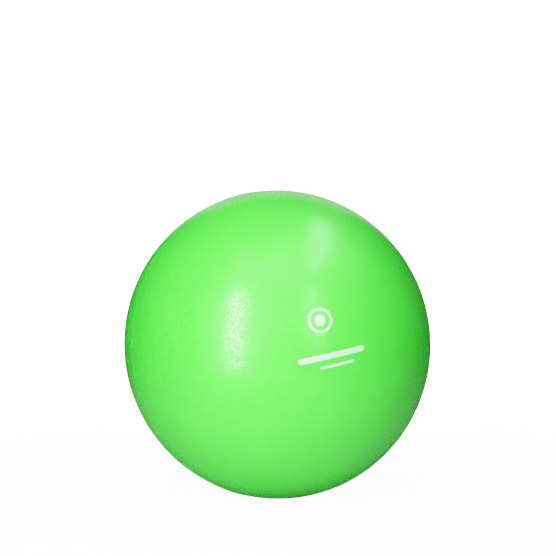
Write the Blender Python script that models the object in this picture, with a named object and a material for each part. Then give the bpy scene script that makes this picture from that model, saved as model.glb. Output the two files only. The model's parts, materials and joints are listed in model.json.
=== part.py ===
"""A soft PVC medicine ball, 220 mm across and about 1 kg, resting on the floor.

+Z is up, and the origin is the centre of the flat patch where the ball touches the floor. The mould's
axis lies along Y: the valve is at the +Y pole, and the parting line is the great circle at y = 0.
"""

import math

import bmesh
import bpy

# Driving dimensions, in metres.
BALL_RADIUS = 0.110
WALL = 0.0025
SETTLE = 0.0009  # how far the ball's own weight flattens it against the floor
GAP = 0.0003  # between pieces that touch
CENTRE_Z = BALL_RADIUS - SETTLE

PARTING_HEIGHT = 0.0003  # the raised line that the mould's two halves leave
PARTING_HALF_WIDTH = 0.0007

NECK_RADIUS = 0.0130  # the skin's inward neck, which holds the valve housing
NECK_LENGTH = 0.0180  # measured from the pole
FLANGE_RADIUS = 0.0100
FLANGE_THICKNESS = 0.0027
BUSH_RADIUS = 0.0062
BORE_RADIUS = 0.0041
BUSH_OVERHANG = 0.0012  # how far the bush reaches past the neck

HEAD_RADIUS = 0.0068
HEAD_SEAT_DEPTH = 0.0016  # of the recess in the flange that takes the plug's head
RIB_HEIGHT = 0.0005
RIB_SPACING = 0.0035
SHANK_LENGTH = 0.0130
TIP_RADIUS = 0.0024
NOTCH_RADIUS = 0.0013

SAND_CLEARANCE = 0.0003  # between the sand and the flattened part of the inner wall
SAND_DEPTH = 0.0256
SAND_MOUND = 0.0018

# Segments round a turned piece.
BALL_SEGMENTS = 60
VALVE_SEGMENTS = 36
CUTTER_SIDE = 0.4

SHARP_ANGLE = math.radians(32)

FLANGE_FACE = math.sqrt(BALL_RADIUS**2 - FLANGE_RADIUS**2)  # its height above the ball's centre
SEAT_FLOOR = FLANGE_FACE - HEAD_SEAT_DEPTH
NECK_END = BALL_RADIUS - NECK_LENGTH


def clear_scene():
    for thing in list(bpy.data.objects):
        bpy.data.objects.remove(thing, do_unlink=True)


def material(name, colour, roughness):
    made = bpy.data.materials.new(name)
    made.use_nodes = True
    shader = made.node_tree.nodes["Principled BSDF"]
    shader.inputs["Base Color"].default_value = (*colour, 1)
    shader.inputs["Roughness"].default_value = roughness
    shader.inputs["Metallic"].default_value = 0
    return made


def empty(name, location, turn=(0, 0, 0)):
    holder = bpy.data.objects.new(name, None)
    holder.location = location
    holder.rotation_euler = turn
    bpy.context.scene.collection.objects.link(holder)
    return holder


def add(name, mesh, parent=None):
    thing = bpy.data.objects.new(name, mesh)
    thing.parent = parent
    bpy.context.scene.collection.objects.link(thing)
    return thing


def arc(radius, start, end, steps):
    """Points on a circle about the ball's centre, by the angle in degrees from the axis."""
    angles = [math.radians(start + (end - start) * i / steps) for i in range(steps + 1)]
    return [(radius * math.sin(a), radius * math.cos(a)) for a in angles]


def polar_angle(radius, height):
    """The angle in degrees from the axis of a point at this radius and height."""
    return math.degrees(math.atan2(radius, height))


def turned(outline, segments):
    """A solid turned about local Z from (radius, height) points, listed down the outer side."""
    built = bmesh.new()
    points = [built.verts.new((radius, 0, height)) for radius, height in outline]
    edges = [built.edges.new(pair) for pair in zip(points, points[1:])]
    if outline[0][0] > 0:
        edges.append(built.edges.new((points[-1], points[0])))
    bmesh.ops.spin(
        built,
        geom=points + edges,
        cent=(0, 0, 0),
        axis=(0, 0, 1),
        angle=math.tau,
        steps=segments,
        use_merge=True,
    )
    bmesh.ops.remove_doubles(built, verts=built.verts, dist=1e-6)
    bmesh.ops.recalc_face_normals(built, faces=built.faces)
    mesh = bpy.data.meshes.new("turned")
    built.to_mesh(mesh)
    built.free()
    mesh.shade_smooth()
    mesh.set_sharp_from_angle(angle=SHARP_ANGLE)
    return mesh


def hide(thing):
    """Marks a cutter, which is no part of the ball."""
    thing.hide_render = True
    thing.display_type = "WIRE"
    return thing


def block_below(name, height):
    """A cutter whose top face lies at this height above the floor."""
    built = bmesh.new()
    bmesh.ops.create_cube(built, size=CUTTER_SIDE)
    mesh = bpy.data.meshes.new(name)
    built.to_mesh(mesh)
    built.free()
    block = hide(add(name, mesh))
    block.location = (0, 0, height - CUTTER_SIDE / 2)
    return block


def cut(thing, cutter):
    boolean = thing.modifiers.new("cut by " + cutter.name, "BOOLEAN")
    boolean.operation = "DIFFERENCE"
    boolean.solver = "EXACT"
    boolean.object = cutter


def outer_outline():
    """The ball's outside, with the valve's stepped hole at the top and the parting line half way."""
    seat = FLANGE_RADIUS + GAP
    edge = math.sqrt(BALL_RADIUS**2 - seat**2)
    hole = [
        (0, NECK_END - BUSH_OVERHANG),
        (BUSH_RADIUS + GAP, NECK_END - BUSH_OVERHANG),
        (BUSH_RADIUS + GAP, FLANGE_FACE - FLANGE_THICKNESS - GAP),
        (seat, FLANGE_FACE - FLANGE_THICKNESS - GAP),
    ]
    line = math.degrees(PARTING_HALF_WIDTH / BALL_RADIUS)
    upper = arc(BALL_RADIUS, polar_angle(seat, edge), 90 - line, 14)
    crest = arc(BALL_RADIUS + PARTING_HEIGHT, 90 - line / 3, 90 + line / 3, 1)
    lower = arc(BALL_RADIUS, 90 + line, 180, 15)
    return hole + upper + crest + lower


def cavity_outline():
    """The hollow, which goes round the neck at the top."""
    inner = BALL_RADIUS - WALL
    top = math.sqrt(inner**2 - NECK_RADIUS**2)
    neck = [(0, NECK_END), (NECK_RADIUS, NECK_END)]
    return neck + arc(inner, polar_angle(NECK_RADIUS, top), 180, 18)


def make_ball_skin(mould_axis):
    skin = add("ball_skin", turned(outer_outline(), BALL_SEGMENTS), mould_axis)
    cavity = hide(add("cavity_cutter", turned(cavity_outline(), BALL_SEGMENTS), mould_axis))
    cut(cavity, block_below("inner_floor_cutter", WALL))
    cut(skin, block_below("floor_cutter", 0))
    cut(skin, cavity)
    skin.data.materials.append(material("green_pvc", (0.12, 0.82, 0.07), 0.4))


def make_valve_housing(mould_axis):
    seat = HEAD_RADIUS + GAP
    outline = [
        (seat, SEAT_FLOOR),
        (seat, math.sqrt(BALL_RADIUS**2 - seat**2)),
        (FLANGE_RADIUS, FLANGE_FACE),
        (FLANGE_RADIUS, FLANGE_FACE - FLANGE_THICKNESS),
        (BUSH_RADIUS, FLANGE_FACE - FLANGE_THICKNESS),
        (BUSH_RADIUS, NECK_END - BUSH_OVERHANG),
        (BORE_RADIUS, NECK_END - BUSH_OVERHANG),
        (BORE_RADIUS, SEAT_FLOOR),
    ]
    housing = add("valve_housing", turned(outline, VALVE_SEGMENTS), mould_axis)
    housing.data.materials.append(material("soft_valve_vinyl", (0.10, 0.62, 0.08), 0.5))


def plug_outline(underside):
    """Down the plug: domed head, shank with two sealing ribs, tapered tip."""
    shank = BORE_RADIUS - GAP - RIB_HEIGHT
    dome = arc(BALL_RADIUS, 0, polar_angle(HEAD_RADIUS, FLANGE_FACE), 2)
    points = dome + [(HEAD_RADIUS, underside), (shank, underside)]
    for rib in (1, 2):
        crest = underside - rib * RIB_SPACING
        points += [
            (shank, crest + 2 * RIB_HEIGHT),
            (shank + RIB_HEIGHT, crest),
            (shank, crest - RIB_HEIGHT),
        ]
    end = underside - SHANK_LENGTH
    return points + [(TIP_RADIUS, end), (0, end)]


def make_valve_plug(mould_axis):
    """The plug's own origin is where its head's underside meets the axis that it slides along."""
    underside = SEAT_FLOOR + GAP
    own = [(radius, height - underside) for radius, height in plug_outline(underside)]
    plug = add("valve_plug", turned(own, VALVE_SEGMENTS), mould_axis)
    plug.location = (0, 0, underside)
    notch_ends = [(0, HEAD_SEAT_DEPTH * 2), (NOTCH_RADIUS, HEAD_SEAT_DEPTH * 2)]
    notch_ends += [(NOTCH_RADIUS, -HEAD_SEAT_DEPTH), (0, -HEAD_SEAT_DEPTH)]
    notch = hide(add("notch_cutter", turned(notch_ends, VALVE_SEGMENTS // 2), mould_axis))
    notch.location = (HEAD_RADIUS, 0, underside)
    cut(plug, notch)
    plug.data.materials.append(material("hard_plug_plastic", (0.78, 0.80, 0.76), 0.35))


def make_iron_sand(ball_centre):
    """Loose weight lying level in the bottom of the ball, clear of the wall all the way round."""
    radius = BALL_RADIUS - SETTLE - WALL - SAND_CLEARANCE
    level = SAND_DEPTH - radius
    rim = math.sqrt(radius**2 - level**2)
    top = [(rim * i / 4, level + SAND_MOUND * (1 - (i / 4) ** 2)) for i in range(4)]
    outline = top + arc(radius, polar_angle(rim, level), 180, 8)
    sand = add("iron_sand", turned(outline, BALL_SEGMENTS), ball_centre)
    sand.data.materials.append(material("dark_iron_sand", (0.06, 0.055, 0.05), 0.8))


def main():
    clear_scene()
    ball_centre = empty("ball_centre", (0, 0, CENTRE_Z))
    mould_axis = empty("mould_axis", (0, 0, CENTRE_Z), (-math.pi / 2, 0, 0))
    make_ball_skin(mould_axis)
    make_valve_housing(mould_axis)
    make_valve_plug(mould_axis)
    make_iron_sand(ball_centre)


main()
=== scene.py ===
"""The looks of the soft vinyl medicine ball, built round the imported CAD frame. Metres, +Z up.

The mould's axis is Y: the valve is at the +Y pole, the parting line is the ring at y = 0, and the
printed mark is a few degrees from the -Y pole.
"""

import json
import math

import bmesh
import bpy
import numpy as np
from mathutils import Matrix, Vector, noise


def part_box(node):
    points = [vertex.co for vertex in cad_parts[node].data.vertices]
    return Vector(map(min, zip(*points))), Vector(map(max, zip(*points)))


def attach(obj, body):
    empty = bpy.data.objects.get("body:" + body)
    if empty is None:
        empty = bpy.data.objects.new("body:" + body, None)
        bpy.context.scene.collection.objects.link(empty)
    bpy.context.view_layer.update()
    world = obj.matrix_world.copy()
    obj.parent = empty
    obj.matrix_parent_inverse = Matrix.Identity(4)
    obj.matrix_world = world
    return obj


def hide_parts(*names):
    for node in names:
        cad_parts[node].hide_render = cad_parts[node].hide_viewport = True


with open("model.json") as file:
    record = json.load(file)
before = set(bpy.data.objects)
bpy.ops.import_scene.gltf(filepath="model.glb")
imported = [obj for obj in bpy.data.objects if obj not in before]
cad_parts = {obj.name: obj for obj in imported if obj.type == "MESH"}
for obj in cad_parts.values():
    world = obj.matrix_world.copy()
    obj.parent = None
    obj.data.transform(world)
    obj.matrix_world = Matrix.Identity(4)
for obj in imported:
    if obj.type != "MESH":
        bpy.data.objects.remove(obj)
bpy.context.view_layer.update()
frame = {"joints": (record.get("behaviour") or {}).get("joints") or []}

# ---------------------------------------------------------------- places that come from the frame
JOINTS = {joint["name"]: joint for joint in frame["joints"]}
CENTRE = np.array(JOINTS["fill_roll"]["pos_m"], float)
RADIUS = CENTRE[1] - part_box("ball_skin")[0].y
FLANGE_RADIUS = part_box("valve_housing")[1].x
BUSH_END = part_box("valve_housing")[0].y  # how far along Y the bush starts
HEAD_RADIUS = -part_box("valve_plug")[0].x
PLUG_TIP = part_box("valve_plug")[0].y
SAND_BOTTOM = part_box("iron_sand")[0].z
SAND_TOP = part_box("iron_sand")[1].z
SAND_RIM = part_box("iron_sand")[1].x

# ---------------------------------------------------------------- sizes that repeat the CAD design
WALL = 0.0025
GAP = 0.0003
NECK_RADIUS = 0.0130
NECK_END = RADIUS - 0.0180
BUSH_RADIUS = 0.0062
BORE_RADIUS = 0.0041
FLANGE_THICKNESS = 0.0027
HEAD_SEAT_DEPTH = 0.0016
NOTCH_RADIUS = 0.0013
RIB_HEIGHT = 0.0005
RIB_SPACING = 0.0035
PARTING_HEIGHT = 0.0003

# ---------------------------------------------------------------- the moulded ball's own shape
ELONGATION = 0.008  # how far the ball is from round, as a share of its radius
LONG_AXIS = np.array([-0.310, 0.144, 0.940])  # the direction in which it is longest
ROUND_ABOVE = 0.95  # it is round where the cosine of the angle from the valve is above this
ROUND_FADE = 0.25  # and reaches its own shape this much further down
BEND_SOFTNESS = 0.00012  # of the bend where the ball meets the floor
BEND_REACH = 0.01  # the bend changes nothing that is further above the floor
PARTING_HALF_WIDTH = 0.0006
PARTING_MEAN = 0.85  # of the full height
PARTING_WAVER = 0.35  # how much the height varies along the line
WAVER_SCALE = 6
RELIEF_REACH = 0.004  # no relief is further from the parting line
PARTING_ROWS = (0.00015, 0.0003, 0.0005, 0.0008, 0.0014, 0.0024)  # of points, on each side of the line
ROW_STEP = 1.25  # degrees between the rows elsewhere
NIB_ANGLE = math.radians(-1.0)  # above the level of the centre, on the parting line's -X side
NIB_HEIGHT = 0.0005
NIB_HALF_LENGTH = 0.0007
NIB_COLUMNS = (0.12, 0.26, 0.42, 0.65)  # degrees to the closer columns on each side of the nib
NIB_REACH = 0.8  # degrees round the nib without the even columns

# ---------------------------------------------------------------- fineness of the visible meshes
BALL_SEGMENTS = 280
VALVE_SEGMENTS = 128

UP_Y = np.array([[1, 0, 0], [0, 0, -1], [0, 1, 0]], float)  # rows: local x, y and z in the world
UP_Z = np.eye(3)


def on_sphere(radius, sphere):
    """The height, at this radius from the axis, of a sphere about the ball's centre."""
    return math.sqrt(sphere**2 - radius**2)


# ---------------------------------------------------------------- mesh tools
def new_object(name, mesh):
    thing = bpy.data.objects.new(name, mesh)
    bpy.context.scene.collection.objects.link(thing)
    return thing


def mesh_of(name, points, faces, smooth=True):
    mesh = bpy.data.meshes.new(name)
    mesh.from_pydata(np.asarray(points).tolist(), [], faces)
    mesh.validate()
    if smooth:
        mesh.shade_smooth()
    return mesh


def arc(radius, start, end, steps, centre=(0.0, 0.0)):
    """(radius, height) points on a circle, by the angle in degrees from the axis."""
    angles = np.radians(np.linspace(start, end, steps + 1))
    return [(centre[0] + radius * math.sin(a), centre[1] + radius * math.cos(a)) for a in angles]


def rounded(corners, steps=4):
    """An outline from (radius, height, rounding) corners. A corner with a rounding of 0 stays sharp."""
    places = [np.array(corner[:2], float) for corner in corners]
    made = []
    for i, here in enumerate(places):
        rounding = corners[i][2]
        if rounding == 0:
            made.append(tuple(here))
            continue
        before = places[i - 1] - here
        after = places[(i + 1) % len(places)] - here
        reach = min(rounding, np.linalg.norm(before) / 2, np.linalg.norm(after) / 2)
        start = here + before / np.linalg.norm(before) * reach
        end = here + after / np.linalg.norm(after) * reach
        for t in np.linspace(0, 1, steps + 1):
            made.append(tuple((1 - t) ** 2 * start + 2 * t * (1 - t) * here + t**2 * end))
    return made


def turned(outline, angles, turn):
    """Points and faces of an outline turned about its axis. An end at radius 0 closes on one point."""
    points, rings = [], []
    for radius, height in outline:
        if radius < 1e-7:
            rings.append([len(points)])
            points.append((0, 0, height))
            continue
        rings.append(range(len(points), len(points) + len(angles)))
        points += [(radius * math.cos(a), radius * math.sin(a), height) for a in angles]
    pairs = list(zip(rings, rings[1:]))
    if outline[0][0] > 1e-7:
        pairs.append((rings[-1], rings[0]))
    faces, count = [], len(angles)
    for upper, lower in pairs:
        for i in range(count):
            j = (i + 1) % count
            if len(upper) == 1:
                faces.append((upper[0], lower[i], lower[j]))
            elif len(lower) == 1:
                faces.append((upper[i], lower[0], upper[j]))
            else:
                faces.append((upper[i], lower[i], lower[j], upper[j]))
    return np.array(points) @ turn + CENTRE, faces


def even_angles(count):
    return [math.tau * i / count for i in range(count)]


# ---------------------------------------------------------------- tools for the ball's own shape
def softly_above(value, floor, softness):
    """value where it is well above floor, and a smooth bend onto floor below that."""
    over = value - floor
    return floor + (over + np.sqrt(over**2 + softness**2)) / 2


def settled(points, floor):
    """The points pressed up where the ball's weight flattens it against the floor."""
    made = points.copy()
    low = made[:, 2] < floor + BEND_REACH
    made[low, 2] = softly_above(made[low, 2], floor, BEND_SOFTNESS)
    return made


def out_of_round(points):
    """The points of a moulded ball that is a little longer along one leaning axis, but not at its valve."""
    off = points - CENTRE
    distance = np.maximum(np.linalg.norm(off, axis=1), 1e-9)
    along = (off @ LONG_AXIS / distance) ** 2
    from_valve = np.clip((ROUND_ABOVE - off[:, 1] / distance) / ROUND_FADE, 0, 1)
    fade = from_valve**2 * (3 - 2 * from_valve)
    return CENTRE + off * (1 + ELONGATION * (along - 1 / 3) * fade)[:, None]


def surface_points(directions):
    """Points on the skin's outside, by direction from the ball's centre."""
    directions = directions / np.linalg.norm(directions, axis=1)[:, None]
    return settled(out_of_round(CENTRE + directions * RADIUS), 0.0)


# ---------------------------------------------------------------- skin
def skin_angles():
    """Even angles round the mould's axis, with closer ones where the parting line has its nib."""
    nib = math.pi + NIB_ANGLE
    near = [nib + side * step for side in (-1, 1) for step in np.radians(NIB_COLUMNS)]
    kept = [a for a in even_angles(BALL_SEGMENTS) if abs(a - nib) > math.radians(NIB_REACH)]
    return sorted(kept + near + [nib])


def parting_rows():
    """Polar angles in degrees of the rows close to the parting line."""
    below = np.array(PARTING_ROWS)
    offsets = np.concatenate([-below[::-1], [0], below])
    return 90 + np.degrees(offsets / RADIUS)


def skin_outline():
    """From the -Y pole of the inside, round the valve's neck, and back to the -Y pole outside."""
    seat = FLANGE_RADIUS + GAP
    bore = BUSH_RADIUS + GAP
    shelf = on_sphere(FLANGE_RADIUS, RADIUS) - FLANGE_THICKNESS - GAP
    inner = RADIUS - WALL
    rows = parting_rows()
    start = math.degrees(math.asin(seat / RADIUS))
    upper = np.linspace(start, rows[0], round((rows[0] - start) / ROW_STEP))
    lower = np.linspace(rows[-1], 180, round((180 - rows[-1]) / ROW_STEP))
    polar = np.radians(np.concatenate([upper[1:-1], rows, lower[1:]]))
    outside = [(RADIUS * math.sin(a), RADIUS * math.cos(a)) for a in polar]
    neck_top = math.degrees(math.asin(NECK_RADIUS / inner))
    inside = arc(inner, 180, neck_top + 2, 44)
    hole = [
        (*inside[-1], 0),
        (NECK_RADIUS, on_sphere(NECK_RADIUS, inner), 0.0012),
        (NECK_RADIUS, NECK_END, 0.0010),
        (bore, NECK_END, 0.0008),
        (bore, shelf, 0.0003),
        (seat, shelf, 0.0003),
        (seat, on_sphere(seat, RADIUS), 0.0012),
        (*outside[0], 0),
    ]
    return [(0, -inner)] + inside[1:-1] + rounded(hole) + outside[1:-1] + [(0, -RADIUS)]


def parting_relief(points):
    """How far the moulded line stands up: a narrow ridge that varies a little along its length."""
    off = points - CENTRE
    across = np.abs(off[:, 1])
    along = np.arctan2(off[:, 2], -off[:, 0])
    round_line = [(math.cos(a) * WAVER_SCALE, math.sin(a) * WAVER_SCALE, 0.5) for a in along]
    waver = np.array([noise.noise(Vector(place)) for place in round_line])
    flank = np.clip(1 - across / PARTING_HALF_WIDTH, 0, 1) ** 0.8
    ridge = PARTING_HEIGHT * (PARTING_MEAN + PARTING_WAVER * waver) * flank
    from_nib = np.hypot((along - NIB_ANGLE) * RADIUS, across)
    nib = (NIB_HEIGHT + PARTING_HEIGHT) * np.exp(-((from_nib / NIB_HALF_LENGTH) ** 2))
    return np.maximum(ridge, nib)


def make_skin():
    points, faces = turned(skin_outline(), skin_angles(), UP_Y)
    off = points - CENTRE
    distance = np.linalg.norm(off, axis=1)
    outer = (np.abs(distance - RADIUS) < 1e-6) & (np.abs(off[:, 1]) < RELIEF_REACH)
    points[outer] += off[outer] / distance[outer, None] * parting_relief(points[outer])[:, None]
    points = out_of_round(points)
    is_outer = distance > RADIUS - WALL / 2
    points[is_outer] = settled(points[is_outer], 0.0)
    points[~is_outer] = settled(points[~is_outer], WALL)
    skin = new_object("vinyl_skin", mesh_of("vinyl_skin", points, faces))
    skin.data.set_sharp_from_angle(angle=math.radians(50))
    return skin


# ---------------------------------------------------------------- valve
WELD_INSET = 0.0012  # of the low ring where the bush is welded to the skin, from the flange's edge
TIP_RADIUS = 0.0024
PIP_RADIUS = 0.0011  # of the moulded pip in the middle of the plug's head
PIP_DEPTH = 0.0002
DISH_DEPTH = 0.0007  # of the shallow dish round the pip
DISH_RADIUS = 0.0046


def sunk(radius, depth):
    """A point of an outline this far below the ball's surface."""
    return radius, on_sphere(radius, RADIUS) - depth


def make_housing():
    seat = HEAD_RADIUS + GAP
    floor = on_sphere(FLANGE_RADIUS, RADIUS) - HEAD_SEAT_DEPTH
    under = on_sphere(FLANGE_RADIUS, RADIUS) - FLANGE_THICKNESS
    corners = [
        (seat, floor, 0.0003),
        (*sunk(seat, 0.00010), 0.0002),
        (*sunk(seat + 0.0008, 0.00015), 0),
        (*sunk(FLANGE_RADIUS - WELD_INSET, 0.00002), 0),
        (*sunk(FLANGE_RADIUS, 0.00010), 0.0004),
        (FLANGE_RADIUS, under, 0.0004),
        (BUSH_RADIUS, under, 0.0004),
        (BUSH_RADIUS, BUSH_END, 0.0006),
        (BORE_RADIUS, BUSH_END, 0.0006),
        (BORE_RADIUS, floor, 0.0005),
    ]
    points, faces = turned(rounded(corners), even_angles(VALVE_SEGMENTS), UP_Y)
    housing = new_object("valve_bush", mesh_of("valve_bush", points, faces))
    housing.data.set_sharp_from_angle(angle=math.radians(60))
    return housing


def notched_angles():
    """Finer round the thumb notch in the plug's head, which is at local +X."""
    reach = 1.2 * math.asin(NOTCH_RADIUS / HEAD_RADIUS)
    fine = np.linspace(-reach, reach, 25)[:-1]
    coarse = np.linspace(reach, math.tau - reach, VALVE_SEGMENTS)[:-1]
    return [float(angle) for angle in (*fine, *coarse)]


def notched(points, underside):
    """Draws the head's edge in to a round notch, all the way through the head."""
    local = (points - CENTRE) @ UP_Y.T
    for spot in local:
        radius, angle = math.hypot(spot[0], spot[1]), math.atan2(spot[1], spot[0])
        across = HEAD_RADIUS * math.sin(angle)
        if spot[2] < underside - 1e-6 or spot[0] < 0 or abs(across) >= NOTCH_RADIUS:
            continue
        edge = HEAD_RADIUS * math.cos(angle) - math.sqrt(NOTCH_RADIUS**2 - across**2)
        spot[:2] *= min(1.0, edge / radius) if radius > 0 else 1.0
    return local @ UP_Y + CENTRE


def head_outline(under):
    """The plug's head from its middle out and down: pip, dish, rim and rounded edge."""
    top = RADIUS - 0.00005
    rim = on_sphere(HEAD_RADIUS, RADIUS)
    pip = arc(PIP_RADIUS, 0, 62, 5, (0, top - PIP_RADIUS - PIP_DEPTH))
    dish = [(PIP_RADIUS + 0.0004, top - DISH_DEPTH - 0.00005), (DISH_RADIUS - 0.0008, top - DISH_DEPTH)]
    brim = [(DISH_RADIUS, rim + 0.00002), (DISH_RADIUS + 0.0007, rim + 0.00002)]
    edge = [(HEAD_RADIUS - 0.0006, rim), (HEAD_RADIUS, rim - 0.0005)]
    lower_edge = [(HEAD_RADIUS, under + 0.0003), (HEAD_RADIUS - 0.0003, under)]
    return pip + dish + brim + edge + lower_edge


def rib(shank, crest):
    """A sealing rib, with its long flank towards the head."""
    return [
        (shank, crest + 2 * RIB_HEIGHT),
        (shank + 0.88 * RIB_HEIGHT, crest + 0.6 * RIB_HEIGHT),
        (shank + RIB_HEIGHT, crest),
        (shank + 0.76 * RIB_HEIGHT, crest - 0.6 * RIB_HEIGHT),
        (shank, crest - RIB_HEIGHT),
    ]


def make_plug():
    under = on_sphere(FLANGE_RADIUS, RADIUS) - HEAD_SEAT_DEPTH + GAP
    shank = BORE_RADIUS - GAP - RIB_HEIGHT
    outline = head_outline(under)
    outline += [(shank + 0.0006, under), (shank, under - 0.0006)]
    for count in (1, 2):
        outline += rib(shank, under - count * RIB_SPACING)
    outline += [(shank - 0.0001, PLUG_TIP + 0.0016), (TIP_RADIUS + 0.0003, PLUG_TIP + 0.0004)]
    outline += [(TIP_RADIUS - 0.0002, PLUG_TIP), (0, PLUG_TIP)]
    points, faces = turned(outline, notched_angles(), UP_Y)
    plug = new_object("push_plug", mesh_of("push_plug", notched(points, under), faces))
    plug.data.set_sharp_from_angle(angle=math.radians(40))
    return plug


# ---------------------------------------------------------------- loose weight
SAND_RINGS = 60
SAND_COLUMNS = 220
SAND_EDGE = 0.0005  # of the heap's top that stays level
HOLLOW_SCALE = 90  # broad hollows in a metre of the heap's top
HOLLOW_DEPTH = 0.0007
DIMPLE_SCALE = 700  # and fine dimples
DIMPLE_DEPTH = 0.0002


def make_sand():
    """The heap of iron sand: a rough, nearly level top over a bottom that follows the wall."""
    radius = CENTRE[2] - SAND_BOTTOM
    level = -math.sqrt(radius**2 - SAND_RIM**2)
    mound = (SAND_TOP - CENTRE[2]) - level
    shares = [i / SAND_RINGS for i in range(SAND_RINGS)]
    top = [(SAND_RIM * share, level + mound * (1 - share**2)) for share in shares]
    start = math.degrees(math.atan2(SAND_RIM, level))
    outline = top + arc(radius, start, 180, 30)
    outline[-1] = (0, -radius)
    points, faces = turned(outline, even_angles(SAND_COLUMNS), UP_Z)
    for point in points:
        height = point[2] - CENTRE[2]
        if height > level - 1e-6 and math.hypot(point[0], point[1]) < SAND_RIM - SAND_EDGE:
            coarse = noise.fractal(Vector(point) * HOLLOW_SCALE, 1.0, 2.0, 3)
            fine = noise.noise(Vector(point) * DIMPLE_SCALE)
            point[2] += HOLLOW_DEPTH * min(coarse, 0) + DIMPLE_DEPTH * min(fine, 0)
    return new_object("iron_sand_heap", mesh_of("iron_sand_heap", points, faces))


# ---------------------------------------------------------------- printed mark
PRINT_AZIMUTH = -10.3  # of the emblem's middle, in degrees from the -Y pole towards +X
PRINT_ELEVATION = 8.2
PRINT_TURN = 12.0  # how far the mark's lines rise to the right
INK_THICKNESS = 0.00010
RING_RADIUS = 0.0074
RING_HALF_WIDTH = 0.0009
DOT_RADIUS = 0.0038
LONG_BAR = ((0.0035, -0.0240), 0.0240, 0.0020)  # its middle, half its length and half its width
SHORT_BAR = ((0.0060, -0.0310), 0.0125, 0.0009)


def print_frame():
    """The emblem's direction from the ball's centre, and the mark's own right and up on the skin."""
    a, e = math.radians(PRINT_AZIMUTH), math.radians(PRINT_ELEVATION)
    out = np.array([math.sin(a) * math.cos(e), -math.cos(a) * math.cos(e), math.sin(e)])
    level = np.cross((0, 0, 1), out)
    level /= np.linalg.norm(level)
    rise = np.cross(out, level)
    t = math.radians(PRINT_TURN)
    right = level * math.cos(t) + rise * math.sin(t)
    return out, right, np.cross(out, right)


def inked(name, grid, closed):
    """A film of ink from a grid of (right, up) places on the mark, in metres, wrapped on the skin."""
    out, right, up = print_frame()
    rows, columns = grid.shape[:2]
    flat = grid.reshape(-1, 2)
    points = surface_points(out * RADIUS + flat[:, :1] * right + flat[:, 1:] * up)
    faces = []
    for i in range(rows if closed else rows - 1):
        for j in range(columns - 1):
            k = (i + 1) % rows
            faces.append((i * columns + j, i * columns + j + 1, k * columns + j + 1, k * columns + j))
    mesh = mesh_of(name, points, faces)
    welded = bmesh.new()
    welded.from_mesh(mesh)
    bmesh.ops.remove_doubles(welded, verts=welded.verts, dist=1e-6)
    bmesh.ops.recalc_face_normals(welded, faces=welded.faces)
    first = welded.faces[:][0]
    if (first.calc_center_median() - Vector(CENTRE)).dot(first.normal) < 0:
        bmesh.ops.reverse_faces(welded, faces=welded.faces)
    welded.to_mesh(mesh)
    welded.free()
    film = new_object(name, mesh)
    film.modifiers.new("ink", "SOLIDIFY").thickness = INK_THICKNESS
    film.modifiers["ink"].offset = 0
    return film


def ring_grid(middle, radius, half_width, count=96, across=4):
    places = []
    for i in range(count):
        a = math.tau * i / count
        for t in np.linspace(-1, 1, across + 1):
            r = radius + t * half_width
            places.append((middle[0] + r * math.cos(a), middle[1] + r * math.sin(a)))
    return np.array(places).reshape(count, across + 1, 2)


def bar_grid(middle, half_length, half_width, count=60, across=6):
    """A bar with round ends."""
    places = []
    for x in half_length * np.sin(np.linspace(-math.pi / 2, math.pi / 2, count)):
        into_end = max(0.0, abs(x) - (half_length - half_width)) / half_width
        half = half_width * math.sqrt(max(1e-4, 1 - into_end**2))
        for t in np.linspace(-1, 1, across + 1):
            places.append((middle[0] + x, middle[1] + t * half))
    return np.array(places).reshape(count, across + 1, 2)


def make_print():
    """A ring round a dot, with a long and a short bar below."""
    ring = ring_grid((0, 0), RING_RADIUS, RING_HALF_WIDTH)
    dot = ring_grid((0, 0), DOT_RADIUS / 2, DOT_RADIUS / 2)
    return [
        inked("ink_ring", ring, True),
        inked("ink_dot", dot, True),
        inked("ink_long_bar", bar_grid(*LONG_BAR), False),
        inked("ink_short_bar", bar_grid(*SHORT_BAR), False),
    ]


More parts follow.
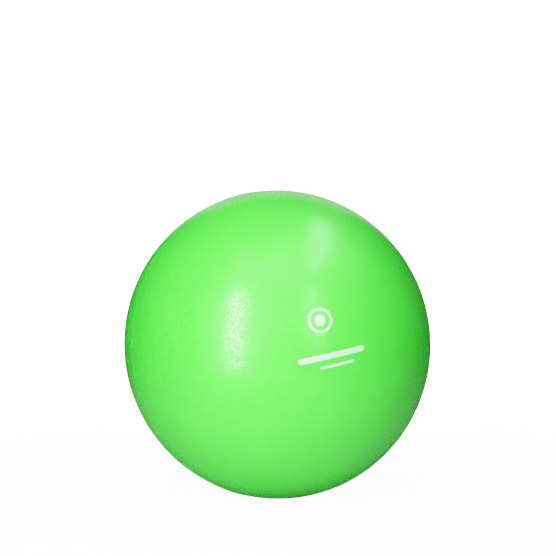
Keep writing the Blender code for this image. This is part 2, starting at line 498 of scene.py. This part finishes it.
# ---------------------------------------------------------------- materials
class Nodes:
    """A short way to write a material's node tree."""

    def __init__(self, name):
        self.material = bpy.data.materials.new(name)
        self.material.use_nodes = True
        self.tree = self.material.node_tree
        self.shader = self.tree.nodes["Principled BSDF"]
        self.place = self.add("ShaderNodeTexCoord").outputs["Object"]

    def give(self, socket, value):
        """Sets a socket to a number or a colour, or links another node's output to it."""
        if isinstance(value, tuple):
            socket.default_value = (*value, 1)
        elif isinstance(value, (int, float)):
            socket.default_value = value
        else:
            self.tree.links.new(value, socket)

    def add(self, kind, inputs=None, **properties):
        node = self.tree.nodes.new(kind)
        for name, value in properties.items():
            setattr(node, name, value)
        for name, value in (inputs or {}).items():
            self.give(node.inputs[name], value)
        return node

    def noise(self, scale, detail=2.0, roughness=0.5, distortion=0.0):
        form = {"Scale": scale, "Detail": detail, "Roughness": roughness, "Distortion": distortion}
        return self.add("ShaderNodeTexNoise", {"Vector": self.place, **form}).outputs["Fac"]

    def cells(self, spacing):
        """How far it is to the nearest of some scattered points, in spacings, and its random numbers."""
        node = self.add("ShaderNodeTexVoronoi", {"Vector": self.place, "Scale": 1 / spacing})
        split = self.add("ShaderNodeSeparateColor", {"Color": node.outputs["Color"]})
        return node.outputs["Distance"], split.outputs

    def maths(self, operation, *values):
        node = self.add("ShaderNodeMath", operation=operation)
        for socket, value in zip(node.inputs, values):
            self.give(socket, value)
        return node.outputs[0]

    def between(self, value, low, high, out_low, out_high):
        """The value, carried over from the range low to high to another range."""
        ranges = {"From Min": low, "From Max": high, "To Min": out_low, "To Max": out_high}
        return self.add("ShaderNodeMapRange", {"Value": value, **ranges}).outputs["Result"]

    def mix(self, share, first, second):
        """Between two colours."""
        node = self.add("ShaderNodeMix", data_type="RGBA")
        self.give(node.inputs[0], share)
        colours = [socket for socket in node.inputs if socket.type == "RGBA"]
        for socket, value in zip(colours, (first, second)):
            self.give(socket, value)
        return next(socket for socket in node.outputs if socket.type == "RGBA")

    def bump(self, height, distance, strength=1.0):
        node = self.add("ShaderNodeBump", {"Strength": strength, "Distance": distance, "Height": height})
        self.give(self.shader.inputs["Normal"], node.outputs["Normal"])

    def set(self, **values):
        for name, value in values.items():
            self.give(self.shader.inputs[name.replace("_", " ")], value)


GREEN = (0.0435, 0.86, 0.0335)
DEEP_GREEN = (0.0400, 0.82, 0.0305)
VALVE_GREEN = (0.05, 0.60, 0.035)
DEEP_VALVE_GREEN = (0.04, 0.52, 0.03)
THIN_INK = (0.26, 0.88, 0.26)  # where the green shows through most
INK_WHITE = (0.47, 0.90, 0.56)
STIPPLE_SCALE = 950  # features in a metre
STIPPLE_HEIGHT = 0.00007
SPECK_COLOUR = (0.03, 0.10, 0.02)
SPECK_SPACING = 0.018  # between the specks of dirt in the vinyl, most of which lie below its surface
SPECK_REACH = 0.030  # a speck's radius, as a share of the spacing
GRAIN_SPACING = 1 / 1300
DARK_GRAIN = (0.020, 0.018, 0.017)
PALE_GRAIN = (0.085, 0.078, 0.072)
RUST = (0.14, 0.065, 0.030)


def vinyl(name, light, deep, crest_grain_and_glint, valley, crest):
    """Soft PVC with the fine wormy stipple of a sand-blasted mould.

    valley and crest are the roughness of the stipple's low and high parts. Handling has polished the
    crests.
    Their colour is lighter and paler by the share wear: partly grain, partly a painted glint of the ridges.
    """
    made = Nodes(name)
    worms = made.noise(STIPPLE_SCALE, 0.3, 0.5, 0.6)
    raised = made.between(worms, 0.46, 0.59, 0, 1)
    patches = made.between(made.noise(22, 3), 0.35, 0.65, 0, 1)
    # Lighter, paler crests: partly grain, partly a painted glint of the stipple's ridges.
    crest_grain_and_glint_colour = tuple(min(1.0, channel * (1 + crest_grain_and_glint) + 0.02 * crest_grain_and_glint) for channel in light)
    stippled = made.mix(raised, made.mix(patches, deep, light), crest_grain_and_glint_colour)
    distance, random = made.cells(SPECK_SPACING)
    near = made.between(distance, 0.7 * SPECK_REACH, SPECK_REACH, 1, 0)
    speck = made.maths("MULTIPLY", near, made.between(random[0], 0.2, 0.8, 0.25, 0.8))
    made.set(Base_Color=made.mix(speck, stippled, SPECK_COLOUR))
    made.bump(worms, STIPPLE_HEIGHT)
    smear = made.between(made.noise(120, 2), 0.3, 0.7, -0.02, 0.02)
    made.set(Roughness=made.maths("ADD", made.between(raised, 0, 1, valley, crest), smear))
    return made.material


def ink():
    made = Nodes("white_pad_print_ink")
    thin = made.between(made.noise(520, 2, 0.6), 0.30, 0.42, 0.35, 0)
    made.set(Base_Color=made.mix(thin, INK_WHITE, THIN_INK))
    made.bump(made.noise(470, 1.5, 0.5, 0.9), 0.00004, 0.6)
    made.set(Roughness=made.between(made.noise(240, 2), 0.3, 0.7, 0.36, 0.46))
    return made.material


def plug_plastic():
    made = Nodes("moulded_plug_plastic")
    cloud = made.between(made.noise(260, 3), 0.3, 0.7, 0, 1)
    made.set(Base_Color=made.mix(cloud, (0.74, 0.76, 0.72), (0.82, 0.84, 0.80)))
    made.bump(made.noise(2600, 2), 0.00001, 0.5)
    made.set(Roughness=made.between(made.noise(900, 2), 0.3, 0.7, 0.26, 0.38))
    made.set(Subsurface_Weight=0.15, Subsurface_Scale=0.002)
    return made.material


def sand():
    """Dark grains, some of them metallic and a few rusty."""
    made = Nodes("iron_sand_grains")
    distance, random = made.cells(GRAIN_SPACING)
    grains = made.mix(random[0], DARK_GRAIN, PALE_GRAIN)
    rusty = made.between(random[1], 0.90, 0.92, 0, 1)
    made.set(Base_Color=made.mix(rusty, grains, RUST))
    made.set(Metallic=made.between(random[2], 0.5, 0.6, 0.0, 0.6))
    made.set(Roughness=made.between(random[1], 0, 1, 0.45, 0.85))
    made.bump(made.maths("MULTIPLY", distance, -1.0), 0.0006, 0.9)
    return made.material


# ---------------------------------------------------------------- stage, lights and camera
VIEW_AZIMUTH = -24.85
VIEW_ELEVATION = 0.5
VIEW_DISTANCE = 8 * RADIUS
VIEW_PITCH = 2.58  # the camera looks up by this much, so that the ball sits low in the frame
VIEW_PAN = 0.03  # and to the right by this much
LENS = 78.8

LAMP_COLOUR = (1.0, 0.975, 0.90)
BOARD_HEIGHT = 0.004
AMBIENT = 0.02
WHITE = 6.0  # what the camera sees of the far background, well into white
FLOOR_HALF = 60.0
PALE_PAPER = (0.50, 0.50, 0.50)
PALER_PAPER = (0.53, 0.53, 0.53)
PAPER_LIFT = 3.6  # what the camera sees the paper brighter by near the ball
LIFT_START = 0.12  # how far from the ball's foot the lift begins to grow to the background's white
LIFT_END = 0.8


def direction(azimuth, elevation):
    """Azimuth 0 is towards -Y and 90 towards +X."""
    a, e = math.radians(azimuth), math.radians(elevation)
    return Vector((math.sin(a) * math.cos(e), -math.cos(a) * math.cos(e), math.sin(e)))


def soft_box(name, place, facing, width, height, radiance, beam=180, oval=False):
    """An area light at place that faces the point facing and doesn't show in the background.

    By its name, a fill lights only the colour of things, and a sheen or a glint only their gloss. A glint
    is also sampled along reflections, which makes it less noisy.
    """
    light = bpy.data.lights.new(name, "AREA")
    light.shape = "ELLIPSE" if oval else "RECTANGLE"
    light.size, light.size_y = width, height
    area = width * height * (math.pi / 4 if oval else 1)
    half_beam = math.radians(beam / 2)
    light.spread = 2 * half_beam
    focused = 1 - half_beam / math.tan(half_beam)  # the share of its power that a narrower beam needs
    light.energy = radiance * math.pi * area * focused
    light.color = LAMP_COLOUR
    lamp = new_object(name, light)
    lamp.location = place
    lamp.rotation_euler = (Vector(place) - Vector(facing)).to_track_quat("Z", "Y").to_euler()
    lamp.visible_camera = False
    light.cycles.use_multiple_importance_sampling = name.startswith("glint")
    lamp.visible_glossy = not name.startswith("fill")
    lamp.visible_diffuse = name.startswith("fill")
    return lamp


def panel(name, azimuth, distance, width, bottom, top, radiance, beam=180):
    """An upright soft box that stands beside the ball."""
    middle = Vector((0, 0, (bottom + top) / 2))
    place = middle + direction(azimuth, 0) * distance
    soft_box(name, place, middle, width, top - bottom, radiance, beam)


def overhead(name, azimuth, elevation, distance, width, height, radiance, oval=False, lean=0):
    """A soft box above the ball, its width level unless it leans by some degrees."""
    place = Vector(CENTRE) + direction(azimuth, elevation) * distance
    lamp = soft_box(name, place, CENTRE, width, height, radiance, oval=oval)
    lamp.rotation_euler.rotate_axis("Z", math.radians(lean))


def board(name, azimuth, near, far, width, radiance):
    """A glowing board that lies just above the floor in front of the ball."""
    out = direction(azimuth, 0)
    place = out * (near + far) / 2 + Vector((0, 0, BOARD_HEIGHT))
    lamp = soft_box(name, place, place + Vector((0, 0, 1)), far - near, width, radiance)
    lamp.rotation_euler = (math.pi, 0, math.atan2(out.y, out.x))


def make_lights():
    """Each lamp's place in degrees and metres, its two sizes and its radiance."""
    panel("fill_front", -40, 0.48, 0.25, 0.01, 0.40, 13.7)
    overhead("fill_above", -25, 40, 0.50, 0.30, 0.20, 14.2)
    board("fill_floor", -25, 0.12, 0.45, 0.40, 0.87)
    panel("fill_behind", 155, 1.50, 0.60, 0.03, 0.21, 50, beam=22)
    panel("fill_right", 108, 1.50, 0.40, 0.03, 0.21, 58, beam=22)
    panel("glint_key", -53.5, 0.90, 0.19, 0.01, 0.73, 32)
    board("glint_key_foot", -53, 0.42, 0.80, 0.11, 27)
    panel("glint_strip", 2, 1.10, 0.16, 0.06, 0.95, 9.8)
    overhead("glint_top", 47.5, 65.3, 1.11, 1.10, 0.24, 7.8, oval=True, lean=22)
    overhead("sheen_top_front", -30, 58, 1.30, 1.20, 0.60, 2.7)
    overhead("sheen_top_right", 40, 60, 1.30, 0.90, 0.90, 1.5)
    panel("sheen_front", -25, 1.50, 2.20, 0.02, 1.80, 1.2)
    overhead("glint_behind", 155, 30, 1.80, 1.20, 1.00, 1.0)
    board("sheen_floor", -25, 0.06, 0.24, 0.30, 0.4)


def background(tree, strength):
    """A white background of this strength."""
    node = tree.nodes.new("ShaderNodeBackground")
    node.inputs["Color"].default_value = (1, 1, 1, 1)
    node.inputs["Strength"].default_value = strength
    return node.outputs[0]


def make_world():
    """Dim for the light that falls on the ball, and white where the camera looks past it."""
    world = bpy.data.worlds.new("studio")
    bpy.context.scene.world = world
    world.use_nodes = True
    tree = world.node_tree
    tree.nodes.clear()
    path, mix = tree.nodes.new("ShaderNodeLightPath"), tree.nodes.new("ShaderNodeMixShader")
    tree.links.new(path.outputs["Is Camera Ray"], mix.inputs[0])
    tree.links.new(background(tree, AMBIENT), mix.inputs[1])
    tree.links.new(background(tree, WHITE), mix.inputs[2])
    tree.links.new(mix.outputs[0], tree.nodes.new("ShaderNodeOutputWorld").inputs["Surface"])


def make_floor():
    """White paper, overexposed away from the ball so that it runs into the background."""
    corners = [(x * FLOOR_HALF, y * FLOOR_HALF, 0) for x, y in ((-1, -1), (1, -1), (1, 1), (-1, 1))]
    floor = new_object("floor", mesh_of("floor", corners, [(0, 1, 2, 3)], smooth=False))
    paper = Nodes("pale_paper")
    tint = paper.between(paper.noise(40, 4), 0.3, 0.7, 0, 1)
    paper.set(Base_Color=paper.mix(tint, PALE_PAPER, PALER_PAPER), Roughness=0.9)
    distance = paper.add("ShaderNodeVectorMath", {"Vector": paper.place}, operation="LENGTH")
    lift = paper.between(distance.outputs["Value"], LIFT_START, LIFT_END, PAPER_LIFT, WHITE)
    seen = paper.add("ShaderNodeLightPath").outputs["Is Camera Ray"]
    paper.set(Emission_Color=(1.0, 1.0, 1.0), Emission_Strength=paper.maths("MULTIPLY", lift, seen))
    floor.data.materials.append(paper.material)


def make_camera():
    camera = bpy.data.cameras.new("camera")
    camera.lens = LENS
    camera.sensor_width = 36
    camera.clip_start, camera.clip_end = 0.01, 200
    thing = new_object("camera", camera)
    thing.location = Vector(CENTRE) + direction(VIEW_AZIMUTH, VIEW_ELEVATION) * VIEW_DISTANCE
    thing.rotation_euler = (math.radians(90 + VIEW_PITCH), 0, math.radians(VIEW_AZIMUTH - VIEW_PAN))
    bpy.context.scene.camera = thing


# ---------------------------------------------------------------- the scene
def finished(piece, body, node, material):
    """Gives a piece its material, says what it rides on, and hides the CAD node that it stands for."""
    piece.data.materials.append(material)
    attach(piece, body)
    if node:
        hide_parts(node)


# The film's curve: how much light there is, and how bright it shows.
TONES = [(0, 0), (0.3, 0.3), (0.6, 0.47), (1.0, 0.655), (1.5, 0.775), (2.0, 0.86)]
TONES += [(2.5, 0.915), (3.0, 0.95), (4.0, 0.98), (6.0, 1.0)]


def set_film():
    """A photograph's soft shoulder: light above about a third is pressed together towards white."""
    view = bpy.context.scene.view_settings
    view.view_transform = "Standard"
    view.use_curve_mapping = True
    brightest = TONES[-1][0]
    view.curve_mapping.white_level = (brightest, brightest, brightest)
    curve = view.curve_mapping.curves[3]  # the one for all three colours together
    for light, shown in TONES[1:-1]:
        curve.points.new(light / brightest, shown)
    for point in curve.points:
        point.handle_type = "VECTOR"
    view.curve_mapping.update()


def main():
    set_film()
    make_world()
    make_floor()
    make_lights()
    make_camera()
    green = vinyl("green_soft_vinyl", GREEN, DEEP_GREEN, crest_grain_and_glint=0.62, valley=0.45, crest=0.11)
    finished(make_skin(), "ball", "ball_skin", green)
    dull_green = vinyl("valve_vinyl", VALVE_GREEN, DEEP_VALVE_GREEN, crest_grain_and_glint=0.12, valley=0.50, crest=0.38)
    finished(make_housing(), "ball", "valve_housing", dull_green)
    finished(make_plug(), "plug", "valve_plug", plug_plastic())
    finished(make_sand(), "fill", "iron_sand", sand())
    white = ink()
    for film in make_print():
        finished(film, "ball", None, white)


main()
